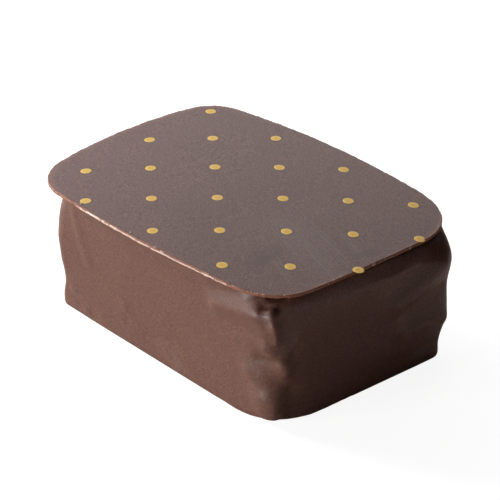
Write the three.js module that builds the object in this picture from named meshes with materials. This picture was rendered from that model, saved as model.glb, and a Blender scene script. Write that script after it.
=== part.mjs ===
// A milk chocolate praline of two pieces: a rectangular block under a poured coat of chocolate,
// and a thin printed sheet of chocolate that lies on it and reaches a little past its walls.
//
// Millimetres, +Z up. The origin is the middle of the foot, on the ground. The long walls face
// -Y (front) and +Y (back), the short ones +X (right) and -X (left).
import * as THREE from 'three';

// ------------------------------------------------------------------ driving dimensions
const FOOT_LENGTH = 31.9; // the foot between its left and right walls
const FOOT_WIDTH = 22.3; // the foot between its front and back walls
const FACE_HEIGHT = 14.5; // the sheet's upper face above the ground, over the origin
const SHEET_THICKNESS = 0.3;
const BRIM_DROP = SHEET_THICKNESS + 0.05; // the coat's top, a bond line below the sheet
const SHEET_EDGE_BEVEL = 0.12; // the sheet's edge tapers by this towards each face

// The sheet lies a little askew and dips towards its rim: millimetres of fall at the foot's edges.
const FACE_FALL_TO_RIGHT = 0.51;
const FACE_FALL_TO_BACK = 0.08;
const FACE_CROWN_LONG = 0.52;
const FACE_CROWN_SHORT = 0.155;
const FACE_TWIST = 0.25;

// Four-sided outlines: corners before rounding, in the order front left, front right, back right,
// back left; how far each side bows out, in the order front, right, back, left; and how much of
// the sides each rounded corner takes away.
const SHEET_OUTLINE = {
  corners: [[-17.9, -12.6], [15.7, -10.9], [14.4, 15.05], [-18.8, 11.45]],
  bows: [1.7, 0.6, 1.1, 1.5],
  cuts: [4.1, 4.4, 6.2, 3.0],
};

// The coat's outlines from the foot to the brim, each at its share of the height under the sheet.
// `spread` is how far the front, right, back and left walls stand outside the foot there.
const COAT_STATIONS = [
  { share: 0.0, spread: [-0.2, 0.1, 0.0, 0.0], bows: [0, 0, 0, 0], cuts: [0.8, 5.6, 1.4, 3.0] },
  { share: 0.02, spread: [-0.1, 0.2, 0.1, 0.1], bows: [0, 0, 0, 0], cuts: [0.8, 5.6, 1.4, 3.0] },
  { share: 0.1, spread: [-0.1, 0.2, 0.2, 0.3], bows: [0, 0, 0, 0], cuts: [1.0, 5.0, 1.7, 3.0] },
  { share: 0.19, spread: [-0.1, 0.2, 0.7, 0.2], bows: [0, 0, 0.1, 0.1], cuts: [1.0, 4.8, 1.9, 3.2] },
  { share: 0.33, spread: [0.0, 0.3, 1.2, 0.4], bows: [0, 0, 0.2, 0.2], cuts: [1.4, 4.6, 2.1, 3.2] },
  { share: 0.6, spread: [0.3, 0.3, 1.2, 0.7], bows: [0.1, 0, 0.3, 0.3], cuts: [1.8, 3.6, 2.3, 3.4] },
  { share: 0.82, spread: [0.3, 0.4, 1.5, 0.6], bows: [0.3, 0.1, 0.5, 0.5], cuts: [2.1, 3.0, 2.6, 3.6] },
  { share: 0.91, spread: [0.2, 0.4, 1.6, 0.45], bows: [0.6, 0.2, 0.6, 0.7], cuts: [2.6, 3.2, 3.2, 3.6] },
];
const BRIM_OUTLINE = {
  corners: [[-16.4, -12.0], [15.5, -10.8], [14.9, 13.8], [-17.2, 11.2]],
  bows: [1.5, 0.5, 0.8, 1.1],
  cuts: [3.6, 4.0, 4.6, 3.6],
};

// Folds of the coat: each is a soft ridge (or a furrow, where `height` is below zero) along the
// wall from one point to another.
const FOLDS = [
  { from: [16.6, 11.4, 10.3], to: [16.1, 4.0, 7.2], width: 1.5, height: 0.35 },
  { from: [16.8, 12.2, 7.9], to: [16.1, 6.0, 6.0], width: 0.8, height: -0.35 },
  { from: [16.6, 11.6, 5.6], to: [16.1, 5.0, 3.4], width: 1.2, height: 0.2 },
  { from: [-16.2, -11.4, 9.0], to: [-13.0, -11.5, 7.0], width: 1.6, height: 0.2 },
  { from: [-16.0, -11.2, 2.6], to: [-11.0, -11.2, 0.9], width: 0.8, height: -0.2 },
  { from: [15.0, -10.6, 12.3], to: [15.0, -10.6, 8.8], width: 0.9, height: 0.35 },
  { from: [15.6, -9.6, 6.4], to: [15.4, -9.8, 4.8], width: 1.2, height: 0.5 },
  { from: [14.4, -10.8, 3.6], to: [14.2, -10.6, 1.4], width: 1.2, height: 0.3 },
];

// Fineness of the facets.
const SIDE_STEPS = 14; // along each side of an outline
const CORNER_STEPS = 8; // round each corner
const STEPS_BETWEEN_STATIONS = 2; // up the wall
const FACE_RINGS = 5; // from the rim of a face to its middle
const CORNER_PULL = 0.6; // 0.55 rounds a corner as a circle, more squares it off

// Colours and finish.
const COAT_BROWN = 0x745247;
const COAT_ROUGHNESS = 0.5;
const FACE_GREY_BROWN = 0x6c605d;
const FACE_ROUGHNESS = 0.55;

// ------------------------------------------------------------------ outlines and faces
/** Where the lines through `a` along `alongA` and through `b` along `alongB` cross. */
function crossing(a, alongA, b, alongB) {
  const between = b.clone().sub(a);
  const share = between.cross(alongB) / alongA.cross(alongB);
  return a.clone().addScaledVector(alongA, share);
}

/** The bowed side from one corner to the next, as a curve. */
function bowedSide(start, end, bow) {
  const outward = new THREE.Vector2(end.y - start.y, start.x - end.x).normalize();
  const control = start.clone().lerp(end, 0.5).addScaledVector(outward, 2 * bow);
  return new THREE.QuadraticBezierCurve(start, control, end);
}

/** Points of a closed four-sided outline with bowed sides and rounded corners, anticlockwise. */
function outlinePoints({ corners, bows, cuts }) {
  const corner = corners.map(([x, y]) => new THREE.Vector2(x, y));
  const next = (index) => (index + 1) % corner.length;
  const sides = corner.map((point, index) => {
    const end = corner[next(index)];
    const length = point.distanceTo(end);
    const curve = bowedSide(point, end, bows[index]);
    return { curve, from: cuts[index] / length, to: 1 - cuts[next(index)] / length };
  });

  const points = [];
  sides.forEach((side, index) => {
    for (let step = 0; step < SIDE_STEPS; step += 1) {
      points.push(side.curve.getPoint(side.from + ((side.to - side.from) * step) / SIDE_STEPS));
    }
    const following = sides[next(index)];
    const start = side.curve.getPoint(side.to);
    const end = following.curve.getPoint(following.from);
    const tip = crossing(
      start, side.curve.getTangent(side.to),
      end, following.curve.getTangent(following.from),
    );
    const arc = new THREE.CubicBezierCurve(
      start, start.clone().lerp(tip, CORNER_PULL), end.clone().lerp(tip, CORNER_PULL), end,
    );
    for (let step = 0; step < CORNER_STEPS; step += 1) {
      points.push(arc.getPoint(step / CORNER_STEPS));
    }
  });
  return points;
}

/** The foot's rectangle with each wall moved out by its spread: front, right, back, left. */
function spreadCorners([front, right, back, left]) {
  const x = FOOT_LENGTH / 2;
  const y = FOOT_WIDTH / 2;
  return [[-x - left, -y - front], [x + right, -y - front], [x + right, y + back], [-x - left, y + back]];
}

/** Height of the sheet's upper face over a point of the plan. */
function faceHeight(x, y) {
  const along = x / (FOOT_LENGTH / 2);
  const across = y / (FOOT_WIDTH / 2);
  return FACE_HEIGHT
    - FACE_FALL_TO_RIGHT * along
    - FACE_FALL_TO_BACK * across
    - FACE_CROWN_LONG * along ** 2
    - FACE_CROWN_SHORT * across ** 2
    - FACE_TWIST * along * across;
}

/** Points of the plan raised to `drop` below the sheet's upper face. */
function raised(points, drop) {
  return points.map(({ x, y }) => new THREE.Vector3(x, y, faceHeight(x, y) - drop));
}

function middleOf(points) {
  return points.reduce((sum, point) => sum.add(point), new THREE.Vector2()).divideScalar(points.length);
}

// ------------------------------------------------------------------ closed bodies
/** Collects rings of points and the triangles between them; every ring has the same `count`. */
class RingBody {
  constructor(count) {
    this.count = count;
    this.positions = [];
    this.triangles = [];
  }

  /** Adds points and returns the number of the first one. */
  add(points) {
    const first = this.positions.length / 3;
    points.forEach((point) => this.positions.push(point.x, point.y, point.z));
    return first;
  }

  /** Joins two rings by a wall, which faces out where the upper ring stands over the lower one. */
  band(lower, upper) {
    for (let index = 0; index < this.count; index += 1) {
      const next = (index + 1) % this.count;
      this.triangles.push(lower + index, lower + next, upper + next);
      this.triangles.push(lower + index, upper + next, upper + index);
    }
  }

  /** Closes the ring `rim`, over `outline`, by a domed face at `drop` below the sheet's upper face. */
  face(rim, outline, drop, looksUp) {
    const middle = middleOf(outline);
    let outer = rim;
    for (let ring = 1; ring < FACE_RINGS; ring += 1) {
      const points = outline.map((point) => point.clone().lerp(middle, ring / FACE_RINGS));
      const inner = this.add(raised(points, drop));
      this.band(looksUp ? outer : inner, looksUp ? inner : outer);
      outer = inner;
    }
    const hub = this.add(raised([middle], drop));
    for (let index = 0; index < this.count; index += 1) {
      const next = (index + 1) % this.count;
      this.triangles.push(outer + (looksUp ? index : next), outer + (looksUp ? next : index), hub);
    }
  }

  geometry() {
    const geometry = new THREE.BufferGeometry();
    geometry.setAttribute('position', new THREE.Float32BufferAttribute(this.positions, 3));
    geometry.setIndex(this.triangles);
    geometry.computeVertexNormals();
    return geometry;
  }
}

// ------------------------------------------------------------------ the printed sheet
function sheetGeometry() {
  const edge = outlinePoints(SHEET_OUTLINE);
  const middle = middleOf(edge);
  const inset = edge.map((point) => (
    point.clone().lerp(middle, SHEET_EDGE_BEVEL / point.distanceTo(middle))
  ));

  const body = new RingBody(edge.length);
  const lowerRim = body.add(raised(inset, SHEET_THICKNESS));
  const edgeRim = body.add(raised(edge, SHEET_THICKNESS / 2));
  const upperRim = body.add(raised(inset, 0));
  body.band(lowerRim, edgeRim);
  body.band(edgeRim, upperRim);
  body.face(lowerRim, inset, SHEET_THICKNESS, false);
  body.face(upperRim, inset, 0, true);
  return body.geometry();
}

// ------------------------------------------------------------------ the coated block
/** How far the folds move a point of the coat outwards. */
function foldRelief(point) {
  return FOLDS.reduce((sum, { from, to, width, height }) => {
    const line = new THREE.Line3(new THREE.Vector3(...from), new THREE.Vector3(...to));
    const nearest = line.closestPointToPoint(point, true, new THREE.Vector3());
    return sum + height * Math.exp(-((point.distanceTo(nearest) / width) ** 2));
  }, 0);
}

/** Moves each point of a level ring out of the wall by the folds that reach it. */
function foldedRing(ring) {
  return ring.map((point, index) => {
    const before = ring[(index + ring.length - 1) % ring.length];
    const after = ring[(index + 1) % ring.length];
    const outward = new THREE.Vector3(after.y - before.y, before.x - after.x, 0).normalize();
    return point.clone().addScaledVector(outward, foldRelief(point));
  });
}

/** The coat's level rings, from the foot to the brim: ribs run up the wall through the stations. */
function coatRings() {
  const stations = COAT_STATIONS.map(({ share, spread, bows, cuts }) => (
    { share, points: outlinePoints({ corners: spreadCorners(spread), bows, cuts }) }
  ));
  stations.push({ share: 1, points: outlinePoints(BRIM_OUTLINE) });
  const ribs = stations[0].points.map((_, index) => new THREE.CatmullRomCurve3(
    stations.map(({ share, points }) => {
      const { x, y } = points[index];
      return new THREE.Vector3(x, y, share * (faceHeight(x, y) - BRIM_DROP));
    }),
  ));

  const levels = (stations.length - 1) * STEPS_BETWEEN_STATIONS;
  const rings = [];
  for (let level = 0; level <= levels; level += 1) {
    const ring = ribs.map((rib) => rib.getPoint(level / levels));
    const isWall = level > 0 && level < levels;
    rings.push(isWall ? foldedRing(ring) : ring);
  }
  return rings;
}

function coatedBlockGeometry() {
  const rings = coatRings();
  const body = new RingBody(rings[0].length);
  const rims = rings.map((points) => body.add(points));
  for (let level = 1; level < rims.length; level += 1) {
    body.band(rims[level - 1], rims[level]);
  }

  // The flat foot faces down, so its triangles turn the other way.
  const foot = rings[0].map(({ x, y }) => new THREE.Vector2(x, y));
  THREE.ShapeUtils.triangulateShape(foot, []).forEach(([a, b, c]) => {
    body.triangles.push(rims[0] + a, rims[0] + c, rims[0] + b);
  });

  const brim = rings[rings.length - 1].map(({ x, y }) => new THREE.Vector2(x, y));
  body.face(rims[rims.length - 1], brim, BRIM_DROP, true);
  return body.geometry();
}

// ------------------------------------------------------------------ the praline
function namedMesh(name, geometry, color, roughness) {
  const mesh = new THREE.Mesh(geometry, new THREE.MeshStandardMaterial({ color, roughness, metalness: 0 }));
  mesh.name = name;
  return mesh;
}

const praline = new THREE.Group();
praline.add(namedMesh('coated_block', coatedBlockGeometry(), COAT_BROWN, COAT_ROUGHNESS));
praline.add(namedMesh('printed_sheet', sheetGeometry(), FACE_GREY_BROWN, FACE_ROUGHNESS));

export default praline;
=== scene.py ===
"""A milk chocolate praline: a block under a poured coat, closed by a thin printed sheet of chocolate.

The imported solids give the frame. Each shown piece is shaped round them, in metres, and dressed here:
the coated block with its folds, the printed sheet with its broken edge, the gold dots and the crumbs.
"""
import logging
import math
import random
from collections.abc import Callable, Iterator, Sequence
from contextlib import contextmanager
from dataclasses import dataclass
from enum import Enum

import bmesh
import bpy
import numpy as np
from mathutils import Matrix, Vector


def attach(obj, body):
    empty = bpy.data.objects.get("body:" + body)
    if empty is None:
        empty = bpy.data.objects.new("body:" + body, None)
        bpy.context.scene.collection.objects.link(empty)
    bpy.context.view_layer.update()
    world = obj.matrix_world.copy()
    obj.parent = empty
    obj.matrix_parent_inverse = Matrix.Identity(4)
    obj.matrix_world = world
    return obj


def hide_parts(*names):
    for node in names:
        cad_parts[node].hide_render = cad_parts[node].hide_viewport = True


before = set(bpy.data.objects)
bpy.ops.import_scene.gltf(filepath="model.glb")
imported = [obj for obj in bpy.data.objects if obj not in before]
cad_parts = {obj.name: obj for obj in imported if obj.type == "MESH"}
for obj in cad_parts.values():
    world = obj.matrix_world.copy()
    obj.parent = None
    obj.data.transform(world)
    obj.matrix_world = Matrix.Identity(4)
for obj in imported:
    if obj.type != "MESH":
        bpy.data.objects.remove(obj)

log = logging.getLogger("praline")

MM = 0.001
LOOSE_GAP = 0.001
LEAST_PUSH = 1e-6
GRAIN_SIZE = 0.15
GRAININESS = 4.0
Point = tuple[float, float, float]
Colour = tuple[float, float, float]


# ---------------- the face's form
FOOT_LENGTH = 31.9
FOOT_WIDTH = 22.3
FACE_HEIGHT = 14.5
SHEET_THICKNESS = 0.3


@dataclass(frozen=True)
class FaceDome:
    """The sheet's upper face: how it falls from the height over the origin, in mm at the foot's edges."""

    height: float = FACE_HEIGHT
    fall_to_right: float = 0.51
    fall_to_back: float = 0.08
    crown_long: float = 0.52
    crown_short: float = 0.155
    twist: float = 0.25

    def heights(self, x: np.ndarray, y: np.ndarray) -> np.ndarray:
        """Height of the face over points of the plan.

        Args:
            x: Places along the praline, in mm.
            y: Places across it, in mm.

        Returns:
            The heights above the ground, in mm.
        """
        along = x / (FOOT_LENGTH / 2)
        across = y / (FOOT_WIDTH / 2)
        return (
            self.height - self.fall_to_right * along - self.fall_to_back * across
            - self.crown_long * along**2 - self.crown_short * across**2 - self.twist * along * across
        )


# ---------------- the bench: meshes worked by hand
class Way(Enum):
    """The direction in which a piece's surface is pushed."""

    OUTWARD = "NORMAL"
    ALONG = "X"
    BACK = "Y"
    UP = "Z"


class Side(Enum):
    """A face of the sheet."""

    UPPER = "upper"
    LOWER = "lower"


def deselect_all() -> None:
    """Leave no object selected, so that an operator acts on its own piece alone."""
    bpy.ops.object.select_all(action="DESELECT")


class Workpiece:
    """One mesh on the bench, shaped by edit-mode tools, pushes and modifiers that are applied."""

    def __init__(self, obj: bpy.types.Object, name: str) -> None:
        """Take an object onto the bench.

        Args:
            obj: The mesh object.
            name: The piece's name.
        """
        self.obj = obj
        obj.name = name
        obj.data.name = name

    @classmethod
    def from_solid(cls, node: str, name: str) -> "Workpiece":
        """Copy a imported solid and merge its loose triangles.

        Args:
            node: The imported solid's name.
            name: The new piece's name.

        Returns:
            The copy, as a piece of its own.
        """
        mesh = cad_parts[node].data.copy()
        mesh.materials.clear()
        obj = bpy.data.objects.new(name, mesh)
        bpy.context.scene.collection.objects.link(obj)
        piece = cls(obj, name)
        with piece.editing():
            bpy.ops.mesh.select_all(action="SELECT")
            bpy.ops.mesh.remove_doubles(threshold=LOOSE_GAP * MM)
        return piece

    @classmethod
    def from_primitive(cls, add: Callable[..., set[str]], name: str, **sizes: object) -> "Workpiece":
        """Add one of Blender's primitives.

        Args:
            add: The operator that adds it.
            name: The piece's name.
            sizes: The operator's settings.

        Returns:
            The new piece.
        """
        deselect_all()
        add(**sizes)
        return cls(bpy.context.object, name)

    @classmethod
    def joined(cls, pieces: Sequence["Workpiece"], name: str) -> "Workpiece":
        """Join pieces into one.

        Args:
            pieces: The pieces, which end as its loose parts.
            name: Its name.

        Returns:
            The joined piece.
        """
        pieces[0].take()
        for other in pieces[1:]:
            other.obj.select_set(True)
        bpy.ops.object.join()
        return cls(pieces[0].obj, name)

    def take(self) -> None:
        """Make this the only selected and the active object."""
        deselect_all()
        self.obj.select_set(True)
        bpy.context.view_layer.objects.active = self.obj

    @contextmanager
    def editing(self) -> Iterator[bmesh.types.BMesh]:
        """Open the piece in edit mode with nothing selected, in vertex, edge and face mode.

        Yields:
            The mesh that is edited, for choosing what the next operator acts on.
        """
        self.take()
        bpy.ops.object.mode_set(mode="EDIT")
        bpy.ops.mesh.select_mode(type="VERT")
        bpy.ops.mesh.select_all(action="DESELECT")
        yield bmesh.from_edit_mesh(self.obj.data)
        bpy.ops.object.mode_set(mode="OBJECT")

    def modify(self, kind: str, **settings: object) -> None:
        """Add a modifier and apply it.

        Args:
            kind: The modifier's type.
            settings: Its settings.
        """
        self.take()
        modifier = self.obj.modifiers.new(kind.title(), kind)
        for setting, value in settings.items():
            setattr(modifier, setting, value)
        bpy.ops.object.modifier_apply(modifier=modifier.name)

    def places(self) -> np.ndarray:
        """Give the vertices' places.

        Returns:
            One row for each vertex, in mm.
        """
        flat = np.empty(len(self.obj.data.vertices) * 3)
        self.obj.data.vertices.foreach_get("co", flat)
        return flat.reshape(-1, 3) / MM

    def push(self, distances: np.ndarray, way: Way = Way.OUTWARD) -> None:
        """Push each vertex by its own distance, once for each sign.

        Args:
            distances: How far each vertex goes, in mm, below zero for inwards or down.
            way: The direction.
        """
        for sign in (1, -1):
            part = np.clip(sign * distances, 0, None)
            furthest = float(part.max(initial=0))
            if furthest > LEAST_PUSH:
                strength = sign * furthest * MM
                self.displace(part / furthest, direction=way.value, mid_level=0, strength=strength)

    def displace(self, shares: np.ndarray, **settings: object) -> None:
        """Apply a Displace modifier of which each vertex takes its own share.

        Args:
            shares: The vertices' shares, from 0 to 1.
            settings: The modifier's settings.
        """
        group = self.obj.vertex_groups.new(name="share")
        for index in np.nonzero(shares)[0]:
            group.add([int(index)], float(shares[index]), "REPLACE")
        self.modify("DISPLACE", vertex_group=group.name, **settings)
        self.obj.vertex_groups.clear()

    def ripple(self, size: float, height: float, shares: np.ndarray) -> None:
        """Roughen the surface with soft noise.

        Args:
            size: The size of the noise's lumps, in mm.
            height: The difference between hollows and lumps, in mm.
            shares: How much of it each vertex takes, from 0 to 1.
        """
        noise = bpy.data.textures.new(f"{self.obj.name} {size}", "CLOUDS")
        noise.noise_scale = size * MM
        noise.noise_depth = 2
        self.displace(shares, texture=noise, texture_coords="LOCAL", mid_level=0.5, strength=height * MM)

    def note(self, name: str, values: np.ndarray) -> None:
        """Store one number for each vertex, for the finish to read.

        Args:
            name: The attribute's name.
            values: The numbers.
        """
        attribute = self.obj.data.attributes.new(name, "FLOAT", "POINT")
        attribute.data.foreach_set("value", values.astype(np.float32))

    def copy(self, name: str) -> "Workpiece":
        """Copy the piece.

        Args:
            name: The copy's name.

        Returns:
            The copy, with a mesh of its own.
        """
        twin = self.obj.copy()
        twin.data = self.obj.data.copy()
        bpy.context.scene.collection.objects.link(twin)
        return Workpiece(twin, name)

    def settle(self) -> None:
        """Bring the object to the origin, unturned and unscaled, with its place in its mesh."""
        self.take()
        bpy.ops.object.transform_apply(location=True, rotation=True, scale=True)

    def dress(self, material: bpy.types.Material, slot: str, *nodes: str) -> None:
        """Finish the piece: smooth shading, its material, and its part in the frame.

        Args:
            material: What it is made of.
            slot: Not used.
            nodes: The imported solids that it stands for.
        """
        self.settle()
        bpy.ops.object.shade_smooth()
        self.obj.data.materials.append(material)
        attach(self.obj, "root")
        if nodes:
            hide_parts(*nodes)
        log.info("%s: %d faces", self.obj.name, len(self.obj.data.polygons))


def nearness(places: np.ndarray, start: Point, end: Point, width: float) -> np.ndarray:
    """How near each place is to a line, as a soft hump.

    Args:
        places: The places, in mm.
        start: The line's first point, in mm.
        end: Its last point, in mm.
        width: The hump's half width, in mm.

    Returns:
        1 on the line, a third of that a width away, and 0 from three widths on.
    """
    first, last = np.array(start), np.array(end)
    along = last - first
    length = max(float(along @ along), 1e-9)
    share = np.clip((places - first) @ along / length, 0, 1)
    away = np.linalg.norm(places - first - share[:, None] * along, axis=1)
    return np.where(away < 3 * width, np.exp(-((away / width) ** 2)), 0)


def soft_step(values: np.ndarray, edge: float, softness: float) -> np.ndarray:
    """Go softly from 0 to 1 where the values pass an edge.

    Args:
        values: The values.
        edge: Where the step is half way up.
        softness: How quickly it rises, for each mm.

    Returns:
        The step's height at each value.
    """
    return 1 / (1 + np.exp((edge - values) * softness))


# ---------------- shader maths
class Wire:
    """A socket of a material, on which arithmetic adds Math nodes."""

    def __init__(self, recipe: "Recipe", socket: bpy.types.NodeSocket) -> None:
        """Wrap a socket of a recipe."""
        self.recipe = recipe
        self.socket = socket

    def maths(self, operation: str, *values: object) -> "Wire":
        """Add a Math node whose inputs are the values given."""
        return self.recipe.node("ShaderNodeMath", {"operation": operation}, dict(enumerate(values)))

    def __add__(self, other: object) -> "Wire":
        """Add a value."""
        return self.maths("ADD", self, other)

    __radd__ = __add__

    def __mul__(self, other: object) -> "Wire":
        """Multiply by a value."""
        return self.maths("MULTIPLY", self, other)

    def __sub__(self, other: object) -> "Wire":
        """Take a value away."""
        return self.maths("SUBTRACT", self, other)

    def __rsub__(self, other: object) -> "Wire":
        """Take this away from a value."""
        return self.maths("SUBTRACT", other, self)

    def __truediv__(self, other: object) -> "Wire":
        """Divide by a value."""
        return self.maths("DIVIDE", self, other)

    def __pow__(self, other: object) -> "Wire":
        """Raise to a power."""
        return self.maths("POWER", self, other)

    def rise(self, low: float, high: float) -> "Wire":
        """Rise softly from 0 to 1, or fall from 1 to 0 where `low` is the larger.

        Args:
            low: Where it is 0.
            high: Where it is 1.

        Returns:
            The softened value.
        """
        turned = low > high
        first, last = (high, low) if turned else (low, high)
        ramp = self.recipe.node(
            "ShaderNodeMapRange", {"interpolation_type": "SMOOTHSTEP"},
            {"Value": self, "From Min": first, "From Max": last},
        )
        return 1 - ramp if turned else ramp


class Recipe:
    """The node tree of one material, in which coordinates are in mm."""

    def __init__(self, name: str) -> None:
        """Start an empty material.

        Args:
            name: The material's name.
        """
        self.material = bpy.data.materials.new(name)
        self.material.use_nodes = True
        self.tree = self.material.node_tree
        self.tree.nodes.clear()
        here = self.node("ShaderNodeTexCoord", output="Object")
        self.place = self.node(
            "ShaderNodeVectorMath", {"operation": "SCALE"}, {0: here, "Scale": 1 / MM}
        )
        self.x, self.y = (
            self.node("ShaderNodeSeparateXYZ", {}, {0: self.place}, output=axis) for axis in "XY"
        )

    def node(
        self, kind: str, settings: dict[str, object] | None = None,
        inputs: dict[object, object] | None = None, output: object = 0,
    ) -> Wire:
        """Add a node, set it and link it.

        Args:
            kind: The node's type.
            settings: The node's own settings, such as its operation.
            inputs: Values or wires for its sockets, by name or number.
            output: The socket that is given back, by name or number.

        Returns:
            The chosen output.
        """
        made = self.tree.nodes.new(kind)
        for setting, value in (settings or {}).items():
            setattr(made, setting, value)
        for name, value in (inputs or {}).items():
            if isinstance(value, Wire):
                self.tree.links.new(value.socket, made.inputs[name])
            else:
                made.inputs[name].default_value = value
        return Wire(self, made.outputs[output])

    def blend(self, factor: object, first: object, second: object) -> Wire:
        """Mix two colours.

        Args:
            factor: How much of the second colour shows, from 0 to 1.
            first: The colour where the factor is 0.
            second: The colour where it is 1.

        Returns:
            The mixed colour.
        """
        rgba = [(*c, 1) if isinstance(c, tuple) else c for c in (first, second)]
        return self.node(
            "ShaderNodeMix", {"data_type": "RGBA"}, {0: factor, 6: rgba[0], 7: rgba[1]}, output=2
        )

    def noise(self, size: float, detail: float = 2, rough: float = 0.5, at: Wire | None = None) -> Wire:
        """Soft noise about 0.5.

        Args:
            size: The size of its lumps, in mm.
            detail: How many finer layers it has.
            rough: How strong the finer layers are.
            at: Where it is read; the place on the piece without this.

        Returns:
            The noise.
        """
        return self.node(
            "ShaderNodeTexNoise", {},
            {"Vector": at or self.place, "Scale": 1 / size, "Detail": detail, "Roughness": rough},
        )

    def specks(self, spacing: float, share: float, radius: float) -> Wire:
        """Small round specks, 1 at each one's middle.

        Args:
            spacing: The size of the cells that hold one speck at most, in mm.
            share: The share of the cells that hold one.
            radius: A speck's radius, in mm.

        Returns:
            The specks' mask.
        """
        cell = {"Vector": self.place, "Scale": 1 / spacing}
        away = self.node("ShaderNodeTexVoronoi", {}, cell, output="Distance")
        colour = self.node("ShaderNodeTexVoronoi", {}, cell, output="Color")
        lot = self.node("ShaderNodeSeparateColor", {}, {0: colour})
        return away.rise(radius / spacing, 0.3 * radius / spacing) * lot.rise(share + 0.01, share)

    def clouded(
        self, deep: Colour, light: Colour, cloud_size: float, mottle_size: float
    ) -> tuple[Wire, Wire, Wire, Wire]:
        """Chocolate's uneven tone: wide clouds, small mottles and a fine grain.

        Args:
            deep: The darkest colour.
            light: The lightest colour.
            cloud_size: The clouds' size, in mm.
            mottle_size: The mottles' size, in mm.

        Returns:
            The colour, then the clouds, the mottles and the grain.
        """
        cloud, mottle = self.noise(cloud_size), self.noise(mottle_size, detail=3)
        grain = self.noise(GRAIN_SIZE)
        tone = cloud * 0.4 + mottle * 0.6 + (grain - 0.5) * GRAININESS
        return self.blend(tone.rise(-0.1, 1.1), deep, light), cloud, mottle, grain

    def vector(self, x: Wire, y: Wire) -> Wire:
        """Join two values into a place in the plan."""
        return self.node("ShaderNodeCombineXYZ", {}, {0: x, 1: y})

    def spot(self, middle: tuple[float, float], reach: tuple[float, float], turn: float = 0.0) -> Wire:
        """A soft oval patch in the plan, 1 at its middle and 0 at its edge.

        Args:
            middle: Where it is, in mm.
            reach: Its half length and half width, in mm.
            turn: How far its length is turned from +X, in degrees.

        Returns:
            The patch's mask.
        """
        cos, sin = math.cos(math.radians(turn)), math.sin(math.radians(turn))
        dx, dy = self.x - middle[0], self.y - middle[1]
        along = (dx * cos + dy * sin) / reach[0]
        across = (dy * cos - dx * sin) / reach[1]
        return (along * along + across * across).rise(1.0, 0.0)

    def bump(self, *layers: tuple[Wire, float]) -> Wire:
        """Turn heights into a surface's normal.

        Args:
            layers: Each height with what one unit of it is worth, in mm.

        Returns:
            The normal.
        """
        total = layers[0][0] * layers[0][1]
        for height, worth in layers[1:]:
            total = total + height * worth
        return self.node("ShaderNodeBump", {}, {"Height": total, "Distance": MM, "Strength": 1.0})

    def finish(self, sockets: dict[str, object]) -> bpy.types.Material:
        """Close the recipe with a Principled shader.

        Args:
            sockets: Values or wires for the shader's sockets.

        Returns:
            The finished material.
        """
        shader = self.node("ShaderNodeBsdfPrincipled", {}, sockets)
        end = self.tree.nodes.new("ShaderNodeOutputMaterial")
        self.tree.links.new(shader.socket, end.inputs["Surface"])
        return self.material


# ---------------- finishes
@dataclass(frozen=True)
class MilkChocolate:
    """The poured coat: satin brown with cloudy tones, faint pale specks and a fine grain. Sizes in mm."""

    deep: Colour = (0.086, 0.034, 0.022)
    light: Colour = (0.150, 0.0655, 0.0455)
    speck: Colour = (0.30, 0.19, 0.14)
    roughness: float = 0.47
    shine: float = 0.5
    cloud_size: float = 6.0
    mottle_size: float = 0.6
    glow: float = 0.3
    glow_reach: Colour = (1.0, 0.4, 0.25)
    glow_scale: float = 0.35

    def material(self) -> bpy.types.Material:
        """Make the material.

        Returns:
            The material.
        """
        recipe = Recipe("milk chocolate")
        colour, cloud, mottle, grain = recipe.clouded(
            self.deep, self.light, self.cloud_size, self.mottle_size
        )
        specks = recipe.specks(0.75, 0.5, 0.07)
        colour = recipe.blend(specks * 0.6, colour, self.speck)
        return recipe.finish({
            "Base Color": colour,
            "Roughness": self.roughness + (mottle - 0.5) * 0.16 + (cloud - 0.5) * 0.1,
            "Specular IOR Level": self.shine,
            "Subsurface Weight": self.glow,
            "Subsurface Radius": self.glow_reach,
            "Subsurface Scale": self.glow_scale * MM,
            "Normal": recipe.bump((grain, 0.008), (mottle, 0.012), (specks, 0.01)),
        })


@dataclass(frozen=True)
class DotLattice:
    """The square grid on which the dots are printed, turned on the sheet, in mm."""

    middle: tuple[float, float] = (-2.246, -2.355)
    pitch: float = 6.4
    turn: float = 51.19
    radius: float = 0.55

    def place(self, column: int, row: int) -> tuple[float, float]:
        """Give a dot's place in the plan.

        Args:
            column: Steps along the grid's first line.
            row: Steps along its second line, clockwise of the first.

        Returns:
            The dot's middle, in mm.
        """
        cos, sin = math.cos(math.radians(self.turn)), math.sin(math.radians(self.turn))
        x = self.middle[0] + self.pitch * (column * cos + row * sin)
        y = self.middle[1] + self.pitch * (column * sin - row * cos)
        return x, y


@dataclass(frozen=True)
class SmudgeAndShade:
    """A dark patch of the sheet, in the plan, in mm and degrees: wiped smudges, and one patch of painted
    shade.
    """

    middle: tuple[float, float]
    reach: tuple[float, float]
    turn: float
    strength: float


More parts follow.
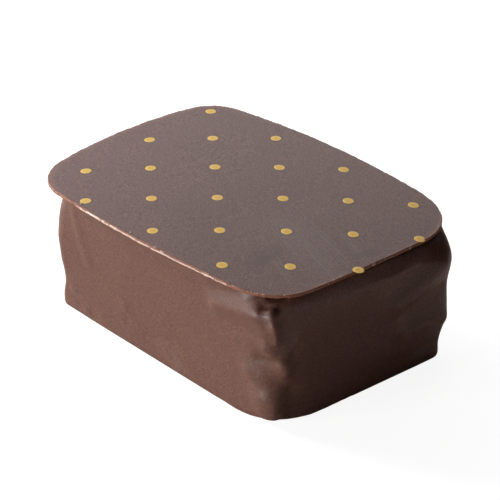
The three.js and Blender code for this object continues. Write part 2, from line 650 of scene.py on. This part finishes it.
@dataclass(frozen=True)
class PrintedFace:
    """The sheet: satin grey-brown with wiped streaks above, reddish and cream where it is broken, the
    reddish made stronger by painted glow of light through the thin edge. It also holds a painted shade over
    the front middle, a painted pale sheen towards the right and a painted reddish glow along the edges,
    most by the left one.
    """

    dots: DotLattice
    smudges_and_shade: tuple[SmudgeAndShade, ...] = (
        # painted shade: the front middle of the face is darker where the sheen falls off; the patches below
        # are wiped smudges
        SmudgeAndShade((0.5, -7.5), (7.0, 4.5), -20, 0.22),
        SmudgeAndShade((9.0, -6.3), (3.6, 1.6), 105, 0.75),
        SmudgeAndShade((14.1, 2.5), (2.0, 0.8), 85, 0.6),
        SmudgeAndShade((0.0, 10.3), (2.2, 0.10), 101, 0.6),
    )
    ragged_from: float = 0.5
    deep: Colour = (0.096, 0.044, 0.036)
    light: Colour = (0.204, 0.104, 0.087)
    pale: Colour = (0.215, 0.175, 0.165)
    # the colour of the wiped smudges and of the painted shade
    smudge_and_shade: Colour = (0.085, 0.048, 0.043)
    dot_edge: Colour = (0.085, 0.062, 0.085)
    # the broken edge's own reddish brown, brightened with painted glow of light through the thin edge
    edge_red_and_glow: Colour = (0.22, 0.082, 0.052)
    edge_orange_and_glow: Colour = (0.31, 0.135, 0.088)
    # painted glow: the reddish tint of light shining through the thin edge
    painted_glow_red: Colour = (0.42, 0.20, 0.15)
    cream: Colour = (0.72, 0.55, 0.46)
    roughness: float = 0.42
    cloud_size: float = 9.0
    mottle_size: float = 0.5
    glow: float = 0.3
    glow_reach: Colour = (1.0, 0.4, 0.25)
    glow_scale: float = 0.4

    def streaks(self, recipe: Recipe) -> Wire:
        """Fine wiped lines that fan out towards the right-hand edge.

        Args:
            recipe: The material that they are for.

        Returns:
            The lines' mask.
        """
        fan_middle, slope, spread = 6.0, 0.26, 0.03
        run = recipe.x - fan_middle
        across = (recipe.y + run * slope) / (run * spread + 1)
        fine = recipe.noise(1.0, detail=4, rough=0.7, at=recipe.vector(run * 0.06, across * 5.0))
        broad = recipe.noise(1.0, at=recipe.vector(run * 0.05, across * 0.9))
        where = recipe.spot((9.5, -0.5), (9.5, 9.0)) ** 0.6
        return fine.rise(0.45, 0.72) * broad.rise(0.34, 0.6) * where

    def rings(self, recipe: Recipe) -> Wire:
        """The thin dark line round each dot.

        Args:
            recipe: The material that it is for.

        Returns:
            The line's mask.
        """
        cos, sin = (f(math.radians(self.dots.turn)) for f in (math.cos, math.sin))
        dx = (recipe.x - self.dots.middle[0]) / self.dots.pitch
        dy = (recipe.y - self.dots.middle[1]) / self.dots.pitch
        steps = (dx * cos + dy * sin, dx * sin - dy * cos)
        off = [(step - step.maths("ROUND", step)) * self.dots.pitch for step in steps]
        away = (off[0] * off[0] + off[1] * off[1]) ** 0.5
        return away.rise(self.dots.radius + 0.17, self.dots.radius + 0.08)

    def face_colour(self, recipe: Recipe) -> Wire:
        """Colour of the flat face, before its edge, with its painted shade and painted sheen.

        Args:
            recipe: The material that it is for.

        Returns:
            The colour.
        """
        colour = recipe.clouded(self.deep, self.light, self.cloud_size, self.mottle_size)[0]
        colour = recipe.blend(self.streaks(recipe) * 0.9, colour, self.pale)
        ragged = recipe.noise(0.8, detail=4, rough=0.7).rise(0.35, 0.7)
        # painted sheen: a pale patch that lightens the face towards the right
        colour = recipe.blend(recipe.spot((9.5, -1.6), (8.5, 3.2), -16) * 0.2, colour, self.pale)
        # dark patches: wiped smudges, and painted shade over the front middle
        for smudge_and_shade in self.smudges_and_shade:
            patch = recipe.spot(smudge_and_shade.middle, smudge_and_shade.reach, smudge_and_shade.turn)
            if smudge_and_shade.reach[1] > self.ragged_from:
                patch = patch * (ragged * 0.6 + 0.4)
            colour = recipe.blend(patch * smudge_and_shade.strength, colour, self.smudge_and_shade)
        colour = recipe.blend(recipe.specks(2.1, 0.35, 0.07) * 0.6, colour, self.pale)
        return recipe.blend(self.rings(recipe) * 0.8, colour, self.dot_edge)

    def material(self) -> bpy.types.Material:
        """Make the material.

        Returns:
            The material.
        """
        recipe = Recipe("printed face")
        rim, low, creamy, painted_glow = (
            recipe.node("ShaderNodeAttribute", {"attribute_name": name}, output="Fac")
            for name in ("rim", "low", "cream", "painted_glow")
        )
        grain = recipe.noise(0.2, detail=3, rough=0.7)
        lumps = recipe.noise(0.9, rough=0.6)
        # the broken edge's reddish brown, partly its own colour and partly painted glow of light through
        # the thin edge
        broken = recipe.blend(grain.rise(0.35, 0.65), self.edge_red_and_glow, self.edge_orange_and_glow)
        chalk = (creamy * low.rise(0.3, 0.6) + (lumps - 0.5) * 2.6 + (grain - 0.5) * 0.8).rise(0.35, 0.6)
        broken = recipe.blend(chalk * creamy.rise(0.0, 0.2), broken, self.cream)
        edge = (rim + (grain - 0.5) * 0.9 + (lumps - 0.5) * 0.4).rise(0.35, 0.65)
        # painted glow: the face reddens near the edge, where light shines through the thin sheet
        face = recipe.blend(painted_glow * 0.42, self.face_colour(recipe), self.painted_glow_red)
        colour = recipe.blend(edge, face, broken)
        fine = recipe.noise(0.09)
        return recipe.finish({
            "Base Color": colour,
            "Roughness": self.roughness + (fine - 0.5) * 0.2 + self.streaks(recipe) * 0.12 + edge * 0.2,
            "Subsurface Weight": self.glow,
            "Subsurface Radius": self.glow_reach,
            "Subsurface Scale": self.glow_scale * MM,
            "Normal": recipe.bump((fine, 0.004), (grain * edge, 0.05), (self.streaks(recipe), 0.006)),
        })


@dataclass(frozen=True)
class GoldPrint:
    """Gold-coloured cocoa butter, a little thicker and lighter round each dot's edge."""

    middle: Colour = (0.79, 0.465, 0.070)
    edge: Colour = (0.89, 0.55, 0.093)
    roughness: float = 0.45

    def material(self) -> bpy.types.Material:
        """Make the material.

        Returns:
            The material.
        """
        recipe = Recipe("gold print")
        out = recipe.node("ShaderNodeAttribute", {"attribute_name": "out"}, output="Fac")
        grain = recipe.noise(0.14, detail=3)
        colour = recipe.blend((out + (grain - 0.5) * 0.5).rise(0.3, 0.85), self.middle, self.edge)
        return recipe.finish({
            "Base Color": colour,
            "Roughness": self.roughness + (grain - 0.5) * 0.2,
            "Normal": recipe.bump((grain, 0.006)),
        })


@dataclass(frozen=True)
class Crumb:
    """Chips and crumbs of broken chocolate, from reddish brown to cream."""

    red: Colour = (0.26, 0.11, 0.07)
    cream: Colour = (0.74, 0.57, 0.46)
    roughness: float = 0.6

    def material(self) -> bpy.types.Material:
        """Make the material.

        Returns:
            The material.
        """
        recipe = Recipe("broken chocolate")
        pale = recipe.node("ShaderNodeAttribute", {"attribute_name": "pale"}, output="Fac")
        grain = recipe.noise(0.1)
        colour = recipe.blend((pale + (grain - 0.5) * 0.6).rise(0.2, 0.8), self.red, self.cream)
        return recipe.finish({
            "Base Color": colour, "Roughness": self.roughness, "Normal": recipe.bump((grain, 0.01)),
        })


# ---------------- the coated block
@dataclass(frozen=True)
class Fold:
    """A soft ridge of the coat, or a furrow where `height` is below zero, in mm."""

    start: Point
    end: Point
    width: float
    height: float
    way: Way = Way.OUTWARD


@dataclass
class CoatedBlock:
    """The block under its coat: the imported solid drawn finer, with the folds that the pour left."""

    name: str = "chocolate_coat"
    node: str = "coated_block"
    edge_round: float = 0.05
    sharp_angle: float = 40.0
    refine: int = 2
    foot_clear: float = 0.5
    wall_foot: float = 0.3
    ripples: tuple[tuple[float, float], ...] = ((4.5, 0.05), (1.3, 0.012))
    fine_share: float = 0.5
    crumpled: tuple[tuple[Point, Point, float], ...] = (
        ((15.2, -10.6, 13.6), (15.0, -10.2, 0.0), 3.6), ((-13.4, -11.5, 12.4), (-12.4, -11.0, 0.8), 2.6),
    )
    folds: tuple[Fold, ...] = (
        # the left end of the front wall
        Fold((-13.3, -11.6, 11.9), (-11.2, -11.4, 6.8), 0.6, 0.12),
        Fold((-9.4, -11.6, 10.4), (-8.8, -11.6, 9.9), 0.7, -0.05),
        Fold((-14.2, -10.9, 2.3), (-12.0, -11.0, 0.9), 0.5, 0.17),
        Fold((-13.2, -10.9, 0.9), (-10.4, -11.0, 0.2), 0.45, -0.10),
        # small swellings low on the front wall
        Fold((-5.9, -11.1, 4.2), (-5.8, -11.1, 4.0), 0.55, 0.12),
        Fold((-5.7, -11.1, 2.8), (-5.5, -11.1, 2.5), 0.4, -0.05),
        Fold((-3.4, -11.2, 5.5), (-3.3, -11.2, 5.3), 0.4, -0.04),
        Fold((0.9, -11.0, 3.2), (3.4, -11.0, 0.7), 0.4, -0.08),
        Fold((0.1, -11.0, 2.2), (2.4, -11.0, 0.3), 0.5, 0.10),
        # the soft shoulder that rises towards the notch, the hollow above it and the one below
        Fold((8.5, -11.9, 12.7), (12.6, -11.5, 13.3), 0.6, -0.08),
        Fold((8.5, -11.7, 11.0), (14.0, -11.4, 11.9), 1.0, 0.50),
        Fold((9.5, -11.6, 9.3), (13.6, -11.5, 9.9), 0.8, -0.08),
        # the notch under the near corner and the ridge below it
        Fold((15.2, -11.2, 13.2), (15.9, -10.2, 13.3), 0.7, -0.30, Way.ALONG),
        Fold((14.5, -11.3, 12.9), (15.7, -10.4, 13.05), 0.42, -0.55),
        Fold((15.35, -10.8, 12.4), (15.72, -10.9, 11.3), 0.6, 0.50),
        Fold((15.72, -10.9, 11.3), (15.85, -10.7, 9.6), 0.42, 0.32),
        Fold((16.2, -9.8, 12.2), (16.4, -9.4, 9.6), 0.75, -0.36),
        # the swellings down the near corner
        Fold((14.8, -11.05, 8.6), (15.1, -10.9, 8.2), 0.7, 0.25),
        Fold((13.9, -11.1, 7.2), (14.9, -11.0, 7.1), 0.5, -0.18),
        Fold((16.0, -9.75, 6.7), (16.1, -9.6, 6.3), 0.9, 0.68),
        Fold((16.3, -8.7, 7.3), (16.3, -8.7, 6.1), 0.7, -0.35),
        Fold((15.4, -10.2, 4.9), (15.8, -9.8, 4.5), 0.5, -0.16),
        Fold((15.2, -10.0, 2.8), (15.1, -9.9, 1.6), 1.3, 0.95),
        Fold((14.0, -11.1, 2.6), (14.3, -11.1, 1.9), 1.5, 0.50),
        Fold((12.9, -11.3, 5.4), (13.9, -11.2, 5.0), 1.1, 0.34),
        Fold((15.6, -8.9, 3.4), (15.55, -8.8, 1.2), 0.85, -0.55),
        Fold((12.6, -10.7, 0.3), (15.6, -8.8, 0.3), 0.7, 0.08),
        # the foot's outline
        Fold((-11.5, -11.1, 0.0), (7.5, -11.1, 0.0), 1.2, -0.06, Way.BACK),
        Fold((10.5, -11.1, 0.0), (12.5, -11.0, 0.0), 1.2, -0.08, Way.BACK),
        Fold((16.0, -7.9, 0.0), (16.1, -7.1, 0.0), 0.9, -0.06, Way.ALONG),
        Fold((16.2, -3.5, 0.0), (16.2, 7.5, 0.0), 1.2, 0.03, Way.ALONG),
        # the hollow under the right-hand lip
        Fold((15.9, -10.2, 11.4), (16.3, -8.5, 11.4), 1.0, -0.22),
        Fold((16.3, -8.5, 11.8), (16.4, 5.0, 12.1), 1.1, -0.20),
        # the folds at the far end of the right wall
        Fold((16.45, 4.2, 10.0), (16.5, 9.7, 12.6), 0.8, -0.20),
        Fold((16.45, 4.2, 8.0), (16.5, 10.2, 10.6), 0.8, 0.34),
        Fold((16.4, 5.6, 6.8), (16.3, 10.4, 8.0), 0.7, -0.26),
        Fold((16.2, 5.6, 4.8), (16.4, 10.8, 4.4), 0.8, 0.36),
        Fold((16.2, 7.5, 2.0), (16.2, 10.6, 2.3), 0.7, -0.15),
        Fold((14.9, 12.1, 12.3), (15.9, 11.5, 11.6), 0.9, 0.06),
        # the swelling at the left end
        Fold((-15.7, -10.8, 7.6), (-15.7, -10.8, 5.4), 1.0, 0.16),
    )

    def draw_finer(self, piece: Workpiece) -> None:
        """Pair the triangles into quads, round the sharp edges and subdivide, finest where crumpled.

        Args:
            piece: The copy of the solid.
        """
        with piece.editing():
            bpy.ops.mesh.select_all(action="SELECT")
            bpy.ops.mesh.tris_convert_to_quads(face_threshold=math.pi, shape_threshold=math.pi)
            bpy.ops.mesh.select_all(action="DESELECT")
            bpy.ops.mesh.select_mode(type="EDGE")
            bpy.ops.mesh.edges_select_sharp(sharpness=math.radians(self.sharp_angle))
            bpy.ops.mesh.bevel(offset=self.edge_round * MM, segments=2, affect="EDGES")
        piece.modify("SUBSURF", levels=self.refine, render_levels=self.refine)
        finest = np.max([nearness(piece.places(), *area) for area in self.crumpled], axis=0)
        with piece.editing() as mesh:
            for face in mesh.faces:
                face.select_set(all(finest[corner.index] > self.fine_share for corner in face.verts))
            bpy.ops.mesh.subdivide(number_cuts=1)

    def build(self) -> Workpiece:
        """Shape the block.

        Returns:
            The finished mesh.
        """
        piece = Workpiece.from_solid(self.node, self.name)
        self.draw_finer(piece)
        places = piece.places()
        above_foot = np.clip(places[:, 2] / self.foot_clear, 0, 1)
        for way in (Way.OUTWARD, Way.ALONG, Way.BACK):
            relief = sum(
                fold.height * nearness(places, fold.start, fold.end, fold.width)
                for fold in self.folds if fold.way is way
            )
            piece.push(relief * above_foot if way is Way.OUTWARD else relief, way)
        piece.push(np.clip(-piece.places()[:, 2], 0, None), Way.UP)
        wall = (piece.places()[:, 2] > self.wall_foot).astype(float)
        for size, height in self.ripples:
            piece.ripple(size, height, wall)
        piece.dress(MilkChocolate().material(), "milk_chocolate", self.node)
        return piece


# ---------------- the printed sheet
@dataclass
class PrintedSheet:
    """The thin sheet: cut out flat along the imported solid's outline, broken at its edge, then bent."""

    dome: FaceDome
    dots: DotLattice
    name: str = "top_sheet"
    node: str = "printed_sheet"
    steps: int = 16
    chamfer: float = 0.04
    rings: tuple[float, ...] = (0.06, 0.10, 0.2, 0.4, 0.8)
    shrinks: tuple[float, ...] = (0.85, 0.8, 0.72, 0.6, 0.45)
    seam_gap: float = 0.0005
    level_gap: float = 0.01
    ring_band: float = 0.03
    rim_reach: float = 0.12
    rim_ripples: tuple[tuple[float, float], ...] = ((0.7, 0.12), (0.2, 0.09))
    cream_most: float = 0.85
    cream_front: float = 10.5
    cream_reach: tuple[float, float] = (-10.2, 10.5)
    # how far in the painted glow of light through the edge reaches, and where it rises on the left, back
    # and right
    painted_glow_reach: float = 0.36
    painted_glow_from: tuple[float, float, float] = (14.0, 9.0, 13.5)
    line: np.ndarray | None = None

    def outline(self) -> Workpiece:
        """Draw the sheet's outline, flat, as a smooth closed line through the solid's widest ring.

        Returns:
            The line, at half the sheet's thickness.
        """
        solid = Workpiece.from_solid(self.node, "outline")
        places = solid.places()
        bpy.data.objects.remove(solid.obj)
        below = self.dome.heights(places[:, 0], places[:, 1]) - places[:, 2]
        ring = places[np.abs(below - SHEET_THICKNESS / 2) < self.ring_band]
        turn = np.arctan2(ring[:, 1], ring[:, 0])
        ring = ring[np.argsort(turn)]

        curve = bpy.data.curves.new(self.name, "CURVE")
        curve.dimensions = "3D"
        curve.resolution_u = self.steps
        line = curve.splines.new("BEZIER")
        line.bezier_points.add(len(ring) - 1)
        line.use_cyclic_u = True
        for knot, (x, y, _) in zip(line.bezier_points, ring):
            knot.co = (x * MM, y * MM, -SHEET_THICKNESS / 2 * MM)
            knot.handle_left_type = knot.handle_right_type = "AUTO"
        obj = bpy.data.objects.new(self.name, curve)
        bpy.context.scene.collection.objects.link(obj)
        Workpiece(obj, self.name).take()
        bpy.ops.object.convert(target="MESH")
        return Workpiece(bpy.context.object, self.name)

    def cut_out(self, piece: Workpiece) -> None:
        """Fill the outline and raise the sheet's edge and both its faces from it, still flat.

        Args:
            piece: The closed line, which becomes the sheet.
        """
        half = SHEET_THICKNESS / 2 * MM
        with piece.editing():
            bpy.ops.mesh.select_all(action="SELECT")
            bpy.ops.mesh.extrude_edges_move(TRANSFORM_OT_translate={"value": (0, 0, -half)})
            bpy.ops.mesh.edge_face_add()
            self.close_face(Side.LOWER)
        with piece.editing() as mesh:
            for vertex in mesh.verts:
                vertex.select = abs(vertex.co.z + half) < self.level_gap * MM
            mesh.select_flush_mode()
            rise = half - self.chamfer * MM
            bpy.ops.mesh.extrude_edges_move(TRANSFORM_OT_translate={"value": (0, 0, rise)})
            bpy.ops.mesh.edge_face_add()
            self.close_face(Side.UPPER)
        with piece.editing():
            bpy.ops.mesh.select_all(action="SELECT")
            bpy.ops.mesh.remove_doubles(threshold=self.seam_gap * MM)
            bpy.ops.mesh.normals_make_consistent(inside=False)

    def close_face(self, side: Side) -> None:
        """Inset the selected outline's face in rings and draw them in to the middle.

        Args:
            side: Which face it is; the upper one is chamfered.
        """
        bpy.ops.mesh.select_mode(type="FACE")
        depth = self.chamfer * MM if side is Side.UPPER else 0
        bpy.ops.mesh.inset(thickness=self.chamfer * MM, depth=depth)
        for width in self.rings:
            bpy.ops.mesh.inset(thickness=width * MM)
        for share in self.shrinks:
            bpy.ops.mesh.extrude_region_move()
            bpy.ops.transform.resize(value=(share, share, 1))

    def cream(self, x: np.ndarray, y: np.ndarray) -> np.ndarray:
        """How creamy the broken edge is: most along the front, fading towards both ends.

        Args:
            x: Places along the praline, in mm.
            y: Places across it, in mm.

        Returns:
            The share at each place, from 0 to 1.
        """
        low, high = self.cream_reach
        reach = soft_step(-x, -high, 1.2) * soft_step(x, low, 1.2)
        return soft_step(-y, self.cream_front, 2.5) * reach * self.cream_most

    def painted_glow(self, x: np.ndarray, y: np.ndarray, inside: np.ndarray) -> np.ndarray:
        """How strongly the painted reddish glow of light through the thin edge shows: most by the left
        edge, then the back and right ones.

        Args:
            x: Places along the praline, in mm.
            y: Places across it, in mm.
            inside: How far each place is from the edge, in mm.

        Returns:
            The painted glow at each place, from 0 to 1.
        """
        ways = zip((-x, y, x), self.painted_glow_from)
        left, back, right = (soft_step(values, edge, 1.5) for values, edge in ways)
        most = np.clip(left + back * (0.35 + 0.5 * right) + 0.4 * right, 0, 1)
        return np.exp(-((inside / self.painted_glow_reach) ** 2)) * most

    def build(self) -> Workpiece:
        """Shape the sheet and keep its outline.

        Returns:
            The finished mesh.
        """
        piece = self.outline()
        self.line = piece.places()[:, :2]
        self.cut_out(piece)
        flat = piece.places()
        inside = np.array([np.hypot(*(self.line - place).T).min() for place in flat[:, :2]])
        rim = np.exp(-((inside / self.rim_reach) ** 2))
        piece.note("rim", rim)
        piece.note("low", -flat[:, 2] / SHEET_THICKNESS)
        piece.note("cream", self.cream(flat[:, 0], flat[:, 1]))
        # painted glow of light through the thin edge, along the edge
        piece.note("painted_glow", self.painted_glow(flat[:, 0], flat[:, 1], inside))
        for size, height in self.rim_ripples:
            piece.ripple(size, height, rim)
        places = piece.places()
        piece.push(self.dome.heights(places[:, 0], places[:, 1]), Way.UP)
        piece.dress(PrintedFace(self.dots).material(), "printed_face", self.node)
        return piece


# ---------------- the gold dots
@dataclass
class GoldDots:
    """The printed dots: one thin disc, copied to the grid's places that the sheet holds.

    Each of `rows` gives the row and the first and last column of its dots.
    """

    dome: FaceDome
    dots: DotLattice
    name: str = "gold_dots"
    thickness: float = 0.012
    sunk: float = 0.01
    corners: int = 40
    edge_width: float = 0.02
    insets: tuple[float, ...] = (0.08, 0.12, 0.12)
    rows: tuple[tuple[int, int, int], ...] = (
        (-3, 0, 0), (-2, -1, 1), (-1, -2, 2), (0, -2, 3), (1, -1, 3), (2, 0, 2),
    )

    def disc(self) -> Workpiece:
        """Make one dot at the origin, flat, with a soft edge.

        Returns:
            The dot.
        """
        dot = Workpiece.from_primitive(
            bpy.ops.mesh.primitive_circle_add, "dot", vertices=self.corners,
            radius=self.dots.radius * MM, fill_type="NGON", location=(0, 0, -self.sunk * MM),
        )
        dot.settle()
        with dot.editing():
            bpy.ops.mesh.select_all(action="SELECT")
            bpy.ops.mesh.select_mode(type="FACE")
            bpy.ops.mesh.extrude_region_move(
                TRANSFORM_OT_translate={"value": (0, 0, (self.sunk + 0.6 * self.thickness) * MM)}
            )
            bpy.ops.mesh.inset(thickness=self.edge_width * MM, depth=0.4 * self.thickness * MM)
            for width in self.insets:
                bpy.ops.mesh.inset(thickness=width * MM)
        places = dot.places()
        dot.note("out", np.hypot(places[:, 0], places[:, 1]) / self.dots.radius)
        return dot

    def build(self) -> Workpiece:
        """Print all the dots.

        Returns:
            The dots as one mesh.
        """
        first = self.disc()
        copies = []
        for row, start, end in self.rows:
            for column in range(start, end + 1):
                twin = first.copy(f"dot {column} {row}")
                x, y = self.dots.place(column, row)
                twin.obj.location = (x * MM, y * MM, 0)
                twin.settle()
                copies.append(twin)
        bpy.data.objects.remove(first.obj)
        piece = Workpiece.joined(copies, self.name)
        places = piece.places()
        piece.push(self.dome.heights(places[:, 0], places[:, 1]), Way.UP)
        piece.dress(GoldPrint().material(), "gold_print")
        return piece


# ---------------- the chips and crumbs
@dataclass
class Crumbs:
    """Chips and crumbs of the broken edge: a few that the photo shows, and a fine scatter.

    `lone` holds places and radii, the chips also half lengths, and `strewn` lines and how many crumbs lie
    along each. All are in mm.
    """

    dome: FaceDome
    line: np.ndarray
    name: str = "edge_crumbs"
    seed: int = 7
    made: int = 0
    lone: tuple[tuple[float, float, float], ...] = (
        (-10.07, -13.05, 0.09), (-4.19, -13.25, 0.08), (-2.38, -13.15, 0.09), (-1.11, -13.3, 0.08),
        (1.18, -13.2, 0.07), (16.3, -2.67, 0.06),
    )
    front_chips: tuple[tuple[float, float, float, float], ...] = (
        (-8.25, -13.32, 0.10, 0.5), (-7.55, -13.34, 0.12, 0.6), (-6.75, -13.36, 0.13, 0.5),
        (-5.95, -13.38, 0.15, 0.25), (-4.75, -13.38, 0.08, 0.4), (-4.15, -13.38, 0.09, 0.3),
    )
    right_chips: tuple[tuple[float, float, float, float], ...] = (
        (16.24, -4.3, 0.08, 0.13), (16.24, -3.75, 0.06, 0.2), (16.2, -3.1, 0.06, 0.15),
        (16.12, 1.65, 0.11, 0.28), (16.08, 2.6, 0.05, 0.3), (16.02, 3.3, 0.06, 0.35),
        (15.97, 4.1, 0.05, 0.4), (15.88, 5.0, 0.05, 0.3), (15.63, 6.79, 0.12, 0.18),
        (15.31, 8.57, 0.08, 0.14),
    )
    right_turn: float = 95.0
    drop: float = 0.14
    inset: float = 0.03
    pale_from: float = 0.1
    scatter: float = 0.08
    strewn_radius: tuple[float, float] = (0.025, 0.055)
    strewn: tuple[tuple[Point, Point, int], ...] = (
        ((9.5, -12.55, 0), (13.5, -11.45, 0), 26), ((13.5, -11.45, 0), (15.6, -8.6, 0), 18),
        ((-6.0, -13.35, 0), (9.0, -12.7, 0), 22), ((16.15, -5.0, 0), (16.2, 0.5, 0), 14),
    )

    def on_sheet(self, x: float, y: float, rim: bool) -> tuple[float, float]:
        """Bring a place that the sheet's outline leaves out, or one meant for its rim, onto the rim.

        Args:
            x: The place along the praline, in mm.
            y: The place across it, in mm.
            rim: Whether it is meant for the rim.

        Returns:
            The place on the sheet, in mm.
        """
        near = self.line[np.hypot(self.line[:, 0] - x, self.line[:, 1] - y).argmin()]
        if rim or math.hypot(x, y) > float(np.hypot(*near)) - self.inset:
            x, y = (float(value) for value in near * (1 - self.inset / np.hypot(*near)))
        return x, y

    def crumb(
        self, place: Point, radius: float, pale: float, length: float = 0.0, turn: float = 0.0
    ) -> Workpiece:
        """Make one crumb, or a long chip of the edge.

        Args:
            place: Its middle, in mm, with the third number counted from the sheet's face.
            radius: Its radius, in mm.
            pale: How pale it is, from 0 to 1.
            length: A chip's half length, in mm.
            turn: How far its length is turned from +X, in degrees.

        Returns:
            The crumb.
        """
        height = float(self.dome.heights(np.array(place[0]), np.array(place[1])))
        self.made += 1
        made = Workpiece.from_primitive(
            bpy.ops.mesh.primitive_ico_sphere_add, f"crumb_{self.made}", subdivisions=2, radius=radius * MM,
        )
        with made.editing():
            bpy.ops.mesh.select_all(action="SELECT")
            bpy.ops.transform.vertex_random(offset=0.35 * radius * MM, seed=self.made, normal=0)
            bpy.ops.transform.resize(value=(max(length / radius, 1), 1, 0.9))
        made.obj.rotation_euler = (0, 0, math.radians(turn))
        made.obj.location = (place[0] * MM, place[1] * MM, (height + place[2]) * MM)
        made.settle()
        made.note("pale", np.full(len(made.obj.data.vertices), pale))
        return made

    def build(self) -> Workpiece:
        """Make the crumbs.

        Returns:
            The crumbs as one mesh.
        """
        draw = random.Random(self.seed)
        crumbs = [
            self.crumb((*self.on_sheet(x, y, False), 0.3 * radius), radius, draw.uniform(0.3, 1.0))
            for x, y, radius in self.lone
        ]
        for x, y, radius, length in self.front_chips:
            place = (*self.on_sheet(x, y, True), -self.drop)
            crumbs.append(self.crumb(place, radius, draw.uniform(0.8, 1.2), length))
        for x, y, radius, length in self.right_chips:
            pale = 0.9 if radius > self.pale_from else 0.45
            place = (*self.on_sheet(x, y, True), -self.drop)
            crumbs.append(self.crumb(place, radius, pale, length, self.right_turn))
        for start, end, count in self.strewn:
            for _ in range(count):
                spot = Vector(start).lerp(Vector(end), draw.random())
                x, y = spot.x + draw.gauss(0, self.scatter), spot.y + draw.gauss(0, self.scatter)
                place = (*self.on_sheet(x, y, False), 0.01)
                radius = draw.uniform(*self.strewn_radius)
                crumbs.append(self.crumb(place, radius, draw.uniform(0, 0.8)))
        piece = Workpiece.joined(crumbs, self.name)
        piece.dress(Crumb().material(), "printed_face")
        return piece


# ---------------- floor, light and camera
@dataclass(frozen=True)
class SoftLight:
    """A white soft light: where it hangs and its width, in mm, and its power, in watts.

    It is square unless it has a height.
    """

    name: str
    place: Point
    width: float
    power: float
    height: float | None = None


@dataclass(frozen=True)
class Studio:
    """A plain pale floor, soft light from four sides, mostly the left and the front, and the camera."""

    floor_size: float = 3.0
    floor_glow: float = 0.9
    floor_base: Colour = (0.3, 0.3, 0.3)
    table_base: Colour = (0.88, 0.75, 0.67)
    table_depth: float = 0.02
    floor_roughness: float = 0.9
    lights: tuple[SoftLight, ...] = (
        SoftLight("front", (-110, -465, 60), 200, 2.3),
        SoftLight("left", (-480, -100, 200), 300, 4.4),
        SoftLight("back", (-380, 340, 260), 450, 0.78),
        SoftLight("right", (480, 130, 45), 240, 0.09, height=90),
    )
    aim: Point = (0.0, 0.0, 7.0)
    dim_light: Colour = (1.0, 0.85, 0.78)
    dim_strength: float = 0.02
    camera_place: Point = (184.794, -165.194, 145.254)
    camera_right: Point = (0.66105733, 0.75022351, 0.01295721)
    camera_down: Point = (0.36924791, -0.31023189, -0.87602064)
    lens: float = 207.38
    sensor: float = 36.0
    nearest_seen: float = 10.0

    def lay_floor(self) -> None:
        """Lay the pale floor that shows, and under it the table that throws light back."""
        for name, depth, base, glow in (
            ("floor", 0.0, self.floor_base, self.floor_glow),
            ("table", self.table_depth, self.table_base, 0.0),
        ):
            sheet = Workpiece.from_primitive(
                bpy.ops.mesh.primitive_plane_add, name, size=self.floor_size,
                location=(0, 0, -depth * MM),
            )
            sheet.settle()
            recipe = Recipe(name)
            sheet.obj.data.materials.append(recipe.finish({
                "Base Color": (*base, 1), "Roughness": self.floor_roughness,
                "Emission Color": (1, 1, 1, 1), "Emission Strength": glow,
            }))
            shown = name == "floor"
            sheet.obj.visible_camera = shown
            sheet.obj.visible_diffuse = sheet.obj.visible_glossy = sheet.obj.visible_shadow = not shown

    def hang(self, light: SoftLight) -> None:
        """Hang a light that looks at the praline.

        Args:
            light: The light.
        """
        data = bpy.data.lights.new(light.name, "AREA")
        data.size = light.width * MM
        if light.height is not None:
            data.shape = "RECTANGLE"
            data.size_y = light.height * MM
        data.energy = light.power
        lamp = bpy.data.objects.new(light.name, data)
        bpy.context.scene.collection.objects.link(lamp)
        lamp.location = Vector(light.place) * MM
        aim = Vector(self.aim) * MM - lamp.location
        lamp.rotation_euler = aim.to_track_quat("-Z", "Y").to_euler()

    def set_camera(self) -> None:
        """Stand the camera where the photo was taken from."""
        data = bpy.data.cameras.new("camera")
        data.lens = self.lens
        data.sensor_width = self.sensor
        data.clip_start = self.nearest_seen * MM
        camera = bpy.data.objects.new("camera", data)
        bpy.context.scene.collection.objects.link(camera)
        right, down = Vector(self.camera_right), Vector(self.camera_down)
        columns = (right, -down, -right.cross(down))
        turn = Matrix(columns).transposed().to_4x4()
        camera.matrix_world = Matrix.Translation(Vector(self.camera_place) * MM) @ turn
        bpy.context.scene.camera = camera

    def build(self) -> None:
        """Set up the floor, the lights and the camera."""
        self.lay_floor()
        for light in self.lights:
            self.hang(light)
        world = bpy.data.worlds.new("studio")
        world.use_nodes = True
        background = world.node_tree.nodes["Background"]
        background.inputs["Color"].default_value = (*self.dim_light, 1)
        background.inputs["Strength"].default_value = self.dim_strength
        bpy.context.scene.world = world
        bpy.context.scene.view_settings.view_transform = "Standard"
        self.set_camera()


def main() -> None:
    """Build, dress and light the praline."""
    logging.basicConfig(level=logging.INFO, format="%(name)s: %(message)s")
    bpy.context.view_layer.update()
    dome, dots = FaceDome(), DotLattice()
    CoatedBlock().build()
    sheet = PrintedSheet(dome, dots)
    sheet.build()
    GoldDots(dome, dots).build()
    Crumbs(dome, sheet.line).build()
    Studio().build()


if __name__ == "__main__":
    main()
